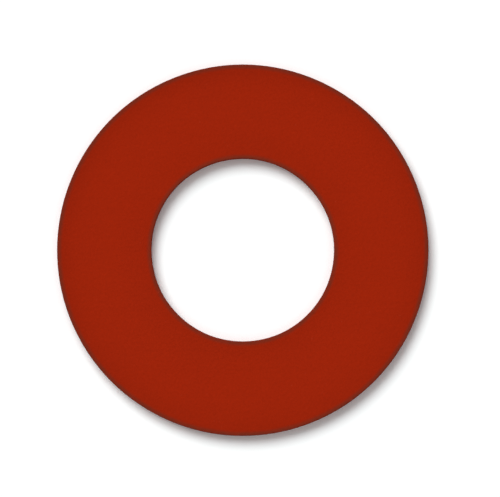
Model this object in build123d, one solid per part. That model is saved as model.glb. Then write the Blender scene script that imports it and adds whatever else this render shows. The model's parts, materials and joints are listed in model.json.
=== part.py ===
from build123d import *
import os

# Flat ring gasket for a pair of 1 inch pipe flanges, die-cut in one stroke from red
# rubber sheet. It lies on its lower face, with the origin at the centre of that face
# and +Z along the bore. All lengths are in millimetres.

# Driving dimensions
rim_diameter = 66.7           # drops in just inside the four flange bolts
bore_diameter = 32.8          # a little under the outside diameter of 1 inch pipe
sheet_thickness = 3.2         # 1/8 inch sheet

# The edges that the cutting die leaves
entry_edge_radius = 0.20      # the blade drags the upper skin down with it
exit_edge_radius = 0.10       # the sheet parts almost square where the blade comes out


def ring_section():
    """Section of the cut rubber on the +X side of the axis, drawn in the XZ plane."""
    ring_width = (rim_diameter - bore_diameter) / 2
    with BuildSketch(Plane.XZ) as section:
        with Locations((bore_diameter / 2, 0)):
            Rectangle(ring_width, sheet_thickness, align=(Align.MIN, Align.MIN))
        fillet(section.vertices().group_by(Axis.Y)[-1], entry_edge_radius)
        fillet(section.vertices().group_by(Axis.Y)[0], exit_edge_radius)
    return section.sketch


def gasket_ring():
    """The whole gasket: its section turned once round the bore axis."""
    return revolve(ring_section(), axis=Axis.Z)


os.makedirs("parts", exist_ok=True)
export_step(gasket_ring(), "parts/gasket_ring.step")
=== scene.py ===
import json
import math

import bpy
import numpy as np
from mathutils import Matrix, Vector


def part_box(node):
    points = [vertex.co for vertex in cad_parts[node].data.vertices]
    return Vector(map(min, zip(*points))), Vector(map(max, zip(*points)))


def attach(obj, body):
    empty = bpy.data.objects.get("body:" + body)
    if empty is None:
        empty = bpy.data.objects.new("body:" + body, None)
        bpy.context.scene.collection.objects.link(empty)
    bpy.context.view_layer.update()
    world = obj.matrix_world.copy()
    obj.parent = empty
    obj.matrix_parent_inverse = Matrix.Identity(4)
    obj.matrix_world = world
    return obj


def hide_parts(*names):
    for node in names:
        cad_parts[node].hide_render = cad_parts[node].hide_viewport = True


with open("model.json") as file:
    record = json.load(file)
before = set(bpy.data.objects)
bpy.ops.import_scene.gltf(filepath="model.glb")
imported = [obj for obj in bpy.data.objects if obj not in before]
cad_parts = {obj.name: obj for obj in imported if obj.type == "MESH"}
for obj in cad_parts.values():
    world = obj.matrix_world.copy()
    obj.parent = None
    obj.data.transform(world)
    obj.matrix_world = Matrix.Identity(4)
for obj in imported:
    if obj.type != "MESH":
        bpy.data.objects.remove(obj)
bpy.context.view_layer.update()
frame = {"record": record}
mm = 0.001


def ringSizes():
    # the gasket's own sizes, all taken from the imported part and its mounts
    mounts = {mount["name"]: mount for mount in frame["record"]["mounts"]}
    bore, rim = mounts["bore"], mounts["rim"]
    low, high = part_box("gasket_ring")
    middle, halfWall = bore["pos_m"][2], bore["dims"]["length_mm"] * mm / 2
    wallBottom, wallTop = middle - halfWall, middle + halfWall
    return {
        "bore": bore["dims"]["r_mm"] * mm,
        "rim": rim["dims"]["r_mm"] * mm,
        "bottom": low.z,
        "top": high.z,
        "wallBottom": wallBottom,
        "wallTop": wallTop,
        "exitRound": wallBottom - low.z,    # radius of the edges that the blade left by
        "entryRound": high.z - wallTop,     # and of those that it entered by
    }


size = ringSizes()
print("gasket: frame loaded, rim radius", round(size["rim"] / mm, 2), "mm")


class Wire:
    # one socket of a node tree: sums written with it become Math nodes

    def __init__(self, nodes, socket):
        self.nodes, self.socket = nodes, socket

    def maths(self, operation, first, second):
        return self.nodes.add("ShaderNodeMath", {"operation": operation}, {0: first, 1: second})

    def __add__(self, other):
        return self.maths("ADD", self, other)

    def __sub__(self, other):
        return self.maths("SUBTRACT", self, other)

    def __rsub__(self, other):
        return self.maths("SUBTRACT", other, self)

    def __mul__(self, other):
        return self.maths("MULTIPLY", self, other)

    __radd__ = __add__
    __rmul__ = __mul__

    def output(self, name):
        # another output of the same node
        return Wire(self.nodes, self.socket.node.outputs[name])


class Nodes:
    # a node tree that is emptied and built up again one node at a time

    def __init__(self, owner):
        owner.use_nodes = True
        self.tree = owner.node_tree
        self.tree.nodes.clear()

    def add(self, kind, settings=None, sockets=None, output=0):
        # settings are set first, then the values or links of the sockets
        node = self.tree.nodes.new(kind)
        for name, value in (settings or {}).items():
            if name == "stops":
                self.setStops(node.color_ramp, value)
            else:
                setattr(node, name, value)
        for name, value in (sockets or {}).items():
            if isinstance(value, Wire):
                self.tree.links.new(value.socket, node.inputs[name])
            else:
                node.inputs[name].default_value = value
        return Wire(self, node.outputs[output]) if node.outputs else None

    def setStops(self, ramp, stops):
        while len(ramp.elements) < len(stops):
            ramp.elements.new(1.0)
        for element, (position, level) in zip(ramp.elements, stops):
            element.position = position
            element.color = (level, level, level, 1.0)

    def greater(self, first, second):
        return self.add("ShaderNodeMath", {"operation": "MAXIMUM"}, {0: first, 1: second})

    def smaller(self, first, second):
        return self.add("ShaderNodeMath", {"operation": "MINIMUM"}, {0: first, 1: second})

    def mixed(self, share, first, second):
        # one colour fading into another; sockets 6 and 7 and output 2 are the ones for colours
        return self.add("ShaderNodeMix", {"data_type": "RGBA"}, {0: share, 6: first, 7: second}, 2)

    def eased(self, value, start, end, low=0.0, high=1.0):
        # from low to high, smoothly, as the value goes from start to end
        sockets = {"Value": value, "From Min": start, "From Max": end, "To Min": low, "To Max": high}
        return self.add("ShaderNodeMapRange", {"interpolation_type": "SMOOTHSTEP"}, sockets)

    def mottle(self, place, lumps):
        # noise about zero, with lumps of one length or of three, along x, y and z
        lengths = lumps if isinstance(lumps, tuple) else (lumps,) * 3
        closer = tuple(1 / length for length in lengths)
        spread = self.add("ShaderNodeVectorMath", {"operation": "MULTIPLY"}, {0: place, 1: closer})
        sockets = {"Vector": spread, "Scale": 1.0, "Detail": 3.0, "Roughness": 0.55}
        return self.add("ShaderNodeTexNoise", None, sockets) - 0.5


# The ring: the sheet's own skin above and below, and two walls cut by the die.
ring = {
    "turns": 960,                       # facets round the ring
    "faceSteps": 24,                    # facets across each flat face
    "faceCrowding": 0.8,                # how far those gather towards the edges, up to 1
    "wallSteps": 10,                    # facets up each cut wall
    "entrySteps": 7,                    # facets over the edge that the blade entered
    "exitSteps": 3,                     # facets over the edge that it left by
    "wallWaist": 0.065 * mm,            # how far a cut wall bows in at half height
    "lipRise": 0.085 * mm,              # how far each upper edge stands above the face,
    "lipWidth": 2.4 * mm,               # and the width of the slope between them
    "wander": 0.020 * mm,               # slow wobble of the cut line
    "wanderWaves": (3, 12),             # waves of it round the ring
    "drag": 0.016 * mm,                 # upright lines dragged down the walls
    "dragWaves": (70, 300),
    "dragLines": 24,
    "dragReach": 0.9 * mm,              # how far in from a wall its wobble dies out
    "ripple": 0.010 * mm,               # waviness of the upper skin
    "rippleLengths": (31 * mm, 17 * mm, 11 * mm, 7 * mm, 5 * mm),
    "rippleSpread": 0.5,                # radians that the waves turn from the sheet's length
    "seed": 11,
}


def quarterTurn(centre, radius, fromAngle, steps):
    # points of a quarter round in the section, without its last point
    turned = fromAngle + np.arange(steps) / steps * math.pi / 2
    across, up = centre[0] + radius * np.cos(turned), centre[1] + radius * np.sin(turned)
    return np.stack([across, up], axis=1)


def straightRun(start, end, steps, crowding=0.0):
    # points of a straight run, without its last point; crowding gathers them at the ends
    share = np.arange(steps) / steps
    share = (1 - crowding) * share + crowding * (1 - np.cos(math.pi * share)) / 2
    return np.outer(1 - share, start) + np.outer(share, end)


def sectionParts():
    # the section's outline, anticlockwise from the foot of the bore's wall
    bore, rim, bottom, top = size["bore"], size["rim"], size["bottom"], size["top"]
    low, high = size["wallBottom"], size["wallTop"]
    entry, left = size["entryRound"], size["exitRound"]
    faceSteps, crowding = ring["faceSteps"], ring["faceCrowding"]
    lowerSkin = [
        quarterTurn((bore + left, low), left, math.pi, ring["exitSteps"]),
        straightRun((bore + left, bottom), (rim - left, bottom), faceSteps, crowding),
        quarterTurn((rim - left, low), left, -math.pi / 2, ring["exitSteps"]),
    ]
    upperSkin = [
        quarterTurn((rim - entry, high), entry, 0.0, ring["entrySteps"]),
        straightRun((rim - entry, top), (bore + entry, top), faceSteps, crowding),
        quarterTurn((bore + entry, high), entry, math.pi / 2, ring["entrySteps"]),
    ]
    return {
        "lowerSkin": np.concatenate(lowerSkin),
        "rimWall": straightRun((rim, low), (rim, high), ring["wallSteps"]),
        "upperSkin": np.concatenate(upperSkin),
        "boreWall": straightRun((bore, high), (bore, low), ring["wallSteps"]),
    }


def smooth(share):
    share = np.clip(share, 0.0, 1.0)
    return share * share * (3 - 2 * share)


def waves(rng, around, counts, falling):
    # a wobble all the way round that reaches 1; falling makes the longer waves the taller
    total = 0.0
    for count in counts:
        height = rng.normal() / (count if falling else 1)
        total = total + height * np.cos(count * around + rng.uniform(0, 2 * math.pi))
    return total / np.abs(total).max()


def cutLine(rng, around):
    # how far one cut edge strays from a true circle, all the way round
    slow = waves(rng, around, range(*ring["wanderWaves"]), True)
    fine = waves(rng, around, rng.integers(*ring["dragWaves"], ring["dragLines"]), False)
    return ring["wander"] * slow + ring["drag"] * fine


def skinRipple(rng, x, y):
    # long low waves left by the rollers, mostly across the sheet's length
    total = 0.0
    for length in ring["rippleLengths"]:
        heading = rng.normal(0, ring["rippleSpread"])
        along = x * math.cos(heading) + y * math.sin(heading)
        total = total + length * np.cos(2 * math.pi * along / length + rng.uniform(0, 2 * math.pi))
    return ring["ripple"] * total / np.abs(total).max()


def ringVertices():
    # every point of the ring, by its step round the section and its step round the bore
    rng = np.random.default_rng(ring["seed"])
    section = np.concatenate(list(sectionParts().values()))
    around = np.arange(ring["turns"]) / ring["turns"] * 2 * math.pi
    radius = np.repeat(section[:, :1], ring["turns"], axis=1)
    height = np.repeat(section[:, 1:], ring["turns"], axis=1)

    fromRim, fromBore = size["rim"] - radius, radius - size["bore"]
    upWall = (height - size["wallBottom"]) / (size["wallTop"] - size["wallBottom"])
    waist = ring["wallWaist"] * np.sin(math.pi * np.clip(upWall, 0, 1))
    nearRim = 1 - smooth(fromRim / ring["dragReach"])
    nearBore = 1 - smooth(fromBore / ring["dragReach"])
    rimLine = cutLine(rng, around)
    radius = radius - nearRim * (rimLine - rimLine.min() + waist)     # nowhere past the true rim
    radius = radius + nearBore * (cutLine(rng, around) + waist)

    x, y = radius * np.cos(around), radius * np.sin(around)
    inward = smooth((np.minimum(fromRim, fromBore) - size["entryRound"]) / ring["lipWidth"])
    onTop = height > size["wallTop"]
    height = height + onTop * inward * (skinRipple(rng, x, y) - ring["lipRise"])
    return np.stack([x, y, height], axis=-1)


# The four corners of a facet: how many steps on round the section and the bore.
cornerSteps = np.array([0, 0, 1, 1])
cornerTurns = np.array([0, 1, 1, 0])

# The square sheet that a bake of the ring is drawn on: the two skins lie flat in opposite
# corners, and the two walls are cut into strips that lie in the others.
bakeSheet = {
    "gap": 0.9 * mm,                    # left clear between neighbours
    "wallScale": 1.7,                   # how much larger than the skins the walls are drawn
    "rimStrips": 8,
    "boreStrips": 4,
}


def flatSkin(run, turned, start, outward, middle):
    # a skin with its rounded edges, seen from outside, so the lower one faces the other way
    radius = start + outward * run
    return middle - outward * radius * np.cos(turned), middle + radius * np.sin(turned)


def wallStrips(run, turn, radius, strips, corner):
    # a wall cut into strips, which lie one above another from the given corner upwards
    scale, perStrip = bakeSheet["wallScale"], ring["turns"] // strips
    facet = 2 * math.pi * radius / ring["turns"]
    pitch = (size["wallTop"] - size["wallBottom"]) * scale + bakeSheet["gap"]
    strip = turn[:, :1] // perStrip
    along, up = (turn - strip * perStrip) * facet * scale, strip * pitch + run * scale
    return corner[0] + bakeSheet["gap"] / 2 + along, corner[1] + bakeSheet["gap"] / 2 + up


def bakePlaces():
    # where each corner of each facet lies on the sheet, as shares of its side
    parts = sectionParts()
    section = np.concatenate(list(parts.values()))
    lengths = np.linalg.norm(np.roll(section, -1, axis=0) - section, axis=1)
    along = np.append(0.0, np.cumsum(lengths))
    turn = np.arange(ring["turns"])[:, None] + cornerTurns
    turned = turn * 2 * math.pi / ring["turns"]

    longer = math.pi / 2 - 1            # what a quarter round gains on its radius when laid flat
    rimEdge = size["rim"] + size["entryRound"] * longer
    boreEdge = size["bore"] - size["exitRound"] * longer
    disc = rimEdge + bakeSheet["gap"] / 2
    side = disc * (2 + math.sqrt(2))    # of the smallest square that holds two such discs
    places, first = [], 0
    for part, points in parts.items():
        run = along[first + np.arange(len(points))[:, None, None] + cornerSteps] - along[first]
        first += len(points)
        if part == "lowerSkin":
            spots = flatSkin(run, turned, boreEdge, 1, disc)
        elif part == "upperSkin":
            spots = flatSkin(run, turned, rimEdge, -1, side - disc)
        elif part == "rimWall":
            spots = wallStrips(run, turn, size["rim"], bakeSheet["rimStrips"], (2 * disc, 0))
        else:
            spots = wallStrips(run, turn, size["bore"], bakeSheet["boreStrips"], (0, 2 * disc))
        places.append(np.stack(np.broadcast_arrays(*spots), axis=-1))
    return np.concatenate(places) / side


def makeRing():
    vertices = ringVertices()
    steps, turns = vertices.shape[:2]
    step = np.arange(steps)[:, None, None] + cornerSteps
    turn = np.arange(turns)[:, None] + cornerTurns
    faces = (step % steps * turns + turn % turns).reshape(-1, 4)
    mesh = bpy.data.meshes.new("rubberRing")
    mesh.from_pydata(vertices.reshape(-1, 3).tolist(), [], faces.tolist())
    mesh.polygons.foreach_set("use_smooth", np.ones(len(faces), bool))
    mesh.uv_layers.new(name="OFBake").data.foreach_set("uv", bakePlaces().ravel())
    piece = bpy.data.objects.new("rubberRing", mesh)
    bpy.context.collection.objects.link(piece)
    return piece


# Red sheet rubber: matte, its skin with painted shade towards the cut edges, and with
# cleaner, satiny cut walls. A size is that of a pattern's lumps, a tone is its share of the
# colour, and a relief is its share of the bumps' depth.
redRubber = {
    "skin": (0.3270, 0.0162, 0.0021, 1.0),
    "cut": (0.2900, 0.0125, 0.0018, 1.0),
    "fleck": (0.3700, 0.0330, 0.0120, 1.0),
    "worn": (0.1900, 0.0245, 0.0103, 1.0),
    "skinEnds": (0.02 * mm, 0.09 * mm),  # how far past the wall the skin begins and is whole
    "bloomReach": 6.6 * mm,             # painted shade darkens the skin from here to the edges
    "bloomTone": [(0.0, 0.93), (0.11, 0.94), (0.30, 0.96), (0.60, 0.98), (1.0, 1.0)],
    "rimReach": 4.4 * mm,               # with more painted shade towards the outer edge
    "rimTone": 0.955,
    "wearReach": (0.20 * mm, 1.05 * mm),  # browner line worn along both cut edges
    "wearWider": 0.07 * mm,             # and how much wider it is round the rim
    "wearShare": 0.92,
    "wearPatch": 1.7 * mm,
    "wearBreak": 0.9,                   # how unevenly it is worn
    "cloudSize": 6.0 * mm,
    "cloudTone": 0.06,
    "cloudRoughness": 0.10,
    "streakSize": (17.0 * mm, 1.1 * mm, 1.1 * mm),
    "streakTone": 0.05,
    "grainSize": 0.38 * mm,
    "grainTone": 0.25,
    "fleckCell": 0.9 * mm,              # one fleck of filler in a cell
    "fleckEnds": (0.05, 0.12),          # where it begins to fade and is gone, in cells
    "fleckPatch": 2.4 * mm,
    "fleckPatches": (0.05, 0.16),       # the higher, the fewer patches have flecks
    "pebbleSize": 0.62 * mm,
    "pebbleRelief": 1.3,
    "poreSize": 0.26 * mm,
    "poreEnds": (0.12, 0.28),           # the higher, the fewer and smaller the pores
    "poreRelief": 0.5,
    "dragSize": (1.1 * mm, 1.1 * mm, 14.0 * mm),
    "dragRelief": 5.0,
    "dragTone": 0.26,
    "tornReach": (0.35 * mm, 0.85 * mm),  # the foot of a wall parts ahead of the blade
    "tornWave": 2.0 * mm,
    "tornSway": 0.5 * mm,               # how far the torn foot's upper limit wanders
    "tornSize": 0.22 * mm,
    "tornRelief": 2.4,
    "tornTone": 0.16,
    "relief": 0.060 * mm,
    "roughness": 0.86,
    "cutRoughness": 0.78,
    "specular": 0.04,
    "satin": 0.08,                      # thin shine of the fresh cut
    "satinRoughness": 0.42,
}


def skinAndFoot(nodes, place, z):
    # 1 on the sheet's own skin and 0 on the cut walls, and 1 on the torn foot of the walls
    start, end = redRubber["skinEnds"]
    above = nodes.eased(z, size["wallTop"] + start, size["wallTop"] + end)
    below = nodes.eased(z, size["wallBottom"] - end, size["wallBottom"] - start, 1.0, 0.0)
    skin = above + below
    wave = nodes.mottle(place, redRubber["tornWave"]) * redRubber["tornSway"]
    return skin, nodes.eased(z + wave, *redRubber["tornReach"], 1.0, 0.0) * (1 - skin)


def edgeShadeAndWear(nodes, place, x, y):
    # painted shade: the skin's tone, darker towards both cut edges and most of all round the
    # rim, and the share of the browner line that handling has left along both
    radius = nodes.add("ShaderNodeMath", {"operation": "SQRT"}, {0: x * x + y * y})
    fromRim, fromBore = size["rim"] - radius, radius - size["bore"]
    fromEdge = nodes.smaller(fromRim, fromBore)
    inward = fromEdge * (1 / redRubber["bloomReach"])
    # painted shade along both cut edges, deepest at them
    edgeShade = nodes.add("ShaderNodeValToRGB", {"stops": redRubber["bloomTone"]}, {"Fac": inward})
    # more painted shade towards the rim
    rimTone = nodes.eased(fromRim, 0.0, redRubber["rimReach"], redRubber["rimTone"], 1.0)
    uneven = nodes.mottle(place, redRubber["wearPatch"]) * redRubber["wearBreak"]
    fromWorn = nodes.smaller(fromRim - redRubber["wearWider"], fromBore)
    wear = nodes.eased(fromWorn, *redRubber["wearReach"], 1.0, 0.0) * (redRubber["wearShare"] + uneven)
    return edgeShade * rimTone, wear


def fleckShare(nodes, place):
    # flecks of pale filler, in some patches of the skin
    sockets = {"Vector": place, "Scale": 1 / redRubber["fleckCell"]}
    cells = nodes.add("ShaderNodeTexVoronoi", None, sockets, "Distance")
    patches = nodes.eased(nodes.mottle(place, redRubber["fleckPatch"]), *redRubber["fleckPatches"])
    return nodes.eased(cells, *redRubber["fleckEnds"], 1.0, 0.0) * patches


def makeRedRubber():
    look = redRubber
    material = bpy.data.materials.new("redRubber")
    nodes = Nodes(material)
    place = nodes.add("ShaderNodeTexCoord", output="Object")
    x = nodes.add("ShaderNodeSeparateXYZ", None, {0: place})
    y, z = x.output("Y"), x.output("Z")
    skin, torn = skinAndFoot(nodes, place, z)
    edgeShade, wear = edgeShadeAndWear(nodes, place, x, y)
    clouds = nodes.mottle(place, look["cloudSize"])
    streaks = nodes.mottle(place, look["streakSize"])
    grain = nodes.mottle(place, look["grainSize"])
    lines = nodes.mottle(place, look["dragSize"])
    cut = 1 - skin

    # colour: the skin with its wear and flecks and its painted edge shade, the cleaner walls, and the
    # tone of each
    wornSkin = nodes.mixed(wear, look["skin"], look["worn"])
    colour = nodes.mixed(skin, look["cut"], wornSkin)
    colour = nodes.mixed(fleckShare(nodes, place) * skin, colour, look["fleck"])
    skinTone = 1 + clouds * look["cloudTone"] + streaks * look["streakTone"] + grain * look["grainTone"]
    cutTone = 1 + lines * look["dragTone"] + torn * look["tornTone"]
    # the skin's tone carries the painted shade along its edges
    tone = skinTone * edgeShade * skin + cutTone * cut
    toned = nodes.add("ShaderNodeVectorMath", {"operation": "SCALE"}, {0: colour, "Scale": tone})

    # relief: pebble and pores on the skin, upright drag lines and the torn foot on the walls
    pebble = nodes.mottle(place, look["pebbleSize"]) * look["pebbleRelief"]
    pores = nodes.eased(nodes.mottle(place, look["poreSize"]), *look["poreEnds"]) * look["poreRelief"]
    tears = nodes.mottle(place, look["tornSize"]) * look["tornRelief"]
    relief = (pebble - pores) * skin + lines * look["dragRelief"] * cut + tears * torn
    bumped = nodes.add("ShaderNodeBump", None, {"Distance": look["relief"], "Height": relief})

    rough = (look["roughness"] + clouds * look["cloudRoughness"]) * skin + look["cutRoughness"] * cut
    sockets = {
        "Base Color": toned,
        "Roughness": rough,
        "Specular IOR Level": look["specular"],
        "Coat Weight": cut * look["satin"],
        "Coat Roughness": look["satinRoughness"],
        "Normal": bumped,
    }
    shader = nodes.add("ShaderNodeBsdfPrincipled", None, sockets)
    nodes.add("ShaderNodeOutputMaterial", None, {"Surface": shader})
    return material


rubberRing = makeRing()
print("gasket: ring made,", len(rubberRing.data.polygons), "facets")
rubberRing.data.materials.append(makeRedRubber())
print("gasket: red rubber made")
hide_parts("gasket_ring")
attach(rubberRing, "root")


# The studio: a white sheet, a broad high lamp from behind the left, a wider one straight
# overhead, and an even fill that gives the rest of the light. A lamp's heading from +X,
# height above the floor and width in the sky are in degrees, and its share is of the light
# that reaches the floor.
studio = {
    "floorSide": 6.0,                   # metres
    "floorDrop": 0.02 * mm,             # keeps the sheet clear of the ring's lower face
    "floorTone": 0.80,                  # what the sheet gives back to the ring
    "floorSeen": (1.05, 1.09, 1.09, 1.0),  # how it shows; cool, against the ring's red glow
    "highLamp": {"heading": 120, "height": 56, "width": 36, "share": 0.60},
    "overheadLamp": {"heading": 0, "height": 90, "width": 80, "share": 0.25},
}


def seenDirectly(nodes):
    # 1 for what the camera, a reflection or a glass shows, and 0 for light that falls on things
    seen = nodes.add("ShaderNodeLightPath", output="Is Camera Ray")
    reflected = nodes.greater(seen, seen.output("Is Glossy Ray"))
    return nodes.greater(reflected, seen.output("Is Transmission Ray"))


def makeFloor():
    half, level = studio["floorSide"] / 2, size["bottom"] - studio["floorDrop"]
    corners = [(x, y, level) for x, y in ((-half, -half), (half, -half), (half, half), (-half, half))]
    mesh = bpy.data.meshes.new("whiteSheet")
    mesh.from_pydata(corners, [], [(0, 1, 2, 3)])
    floor = bpy.data.objects.new("whiteSheet", mesh)
    bpy.context.collection.objects.link(floor)

    material = bpy.data.materials.new("whiteSheet")
    nodes = Nodes(material)
    given = (studio["floorTone"],) * 3 + (1.0,)
    tone = nodes.mixed(seenDirectly(nodes), given, studio["floorSeen"])
    shader = nodes.add("ShaderNodeBsdfDiffuse", None, {"Color": tone})
    nodes.add("ShaderNodeOutputMaterial", None, {"Surface": shader})
    floor.data.materials.append(material)


def makeLamp(name):
    lamp = studio[name]
    heading, height = math.radians(lamp["heading"]), math.radians(lamp["height"])
    data = bpy.data.lights.new(name, "SUN")
    data.angle = math.radians(lamp["width"])
    data.energy = lamp["share"] * math.pi / math.sin(height)    # pi from overhead is full light
    holder = bpy.data.objects.new(name, data)
    holder.rotation_euler = (0.0, math.pi / 2 - height, heading)
    bpy.context.collection.objects.link(holder)


def makeFill():
    # as strong from all round, and white where it is seen directly
    world = bpy.data.worlds.new("evenFill")
    bpy.context.scene.world = world
    nodes = Nodes(world)
    fill = 1 - studio["highLamp"]["share"] - studio["overheadLamp"]["share"]
    strength = fill + seenDirectly(nodes) * (1 - fill)
    background = nodes.add("ShaderNodeBackground", None, {"Color": (1, 1, 1, 1), "Strength": strength})
    nodes.add("ShaderNodeOutputWorld", None, {"Surface": background})


# The camera looks straight down, from far enough off that the walls hardly show.
camera = {
    "lens": 400,                        # millimetres, as is the sensor
    "sensor": 36,
    "viewWide": 89.66 * mm,             # width of what it sees, level with the ring's top
    "aim": (1.30 * mm, 0.31 * mm),      # where it points, from the bore's axis
}


def makeCamera():
    data = bpy.data.cameras.new("camera")
    data.lens, data.sensor_width = camera["lens"], camera["sensor"]
    away = camera["viewWide"] * camera["lens"] / camera["sensor"]
    viewer = bpy.data.objects.new("camera", data)
    viewer.location = (*camera["aim"], size["top"] + away)
    bpy.context.collection.objects.link(viewer)
    bpy.context.scene.camera = viewer


makeFloor()
makeLamp("highLamp")
makeLamp("overheadLamp")
makeFill()
makeCamera()
bpy.context.scene.view_settings.view_transform = "Standard"
print("gasket: studio and camera set")
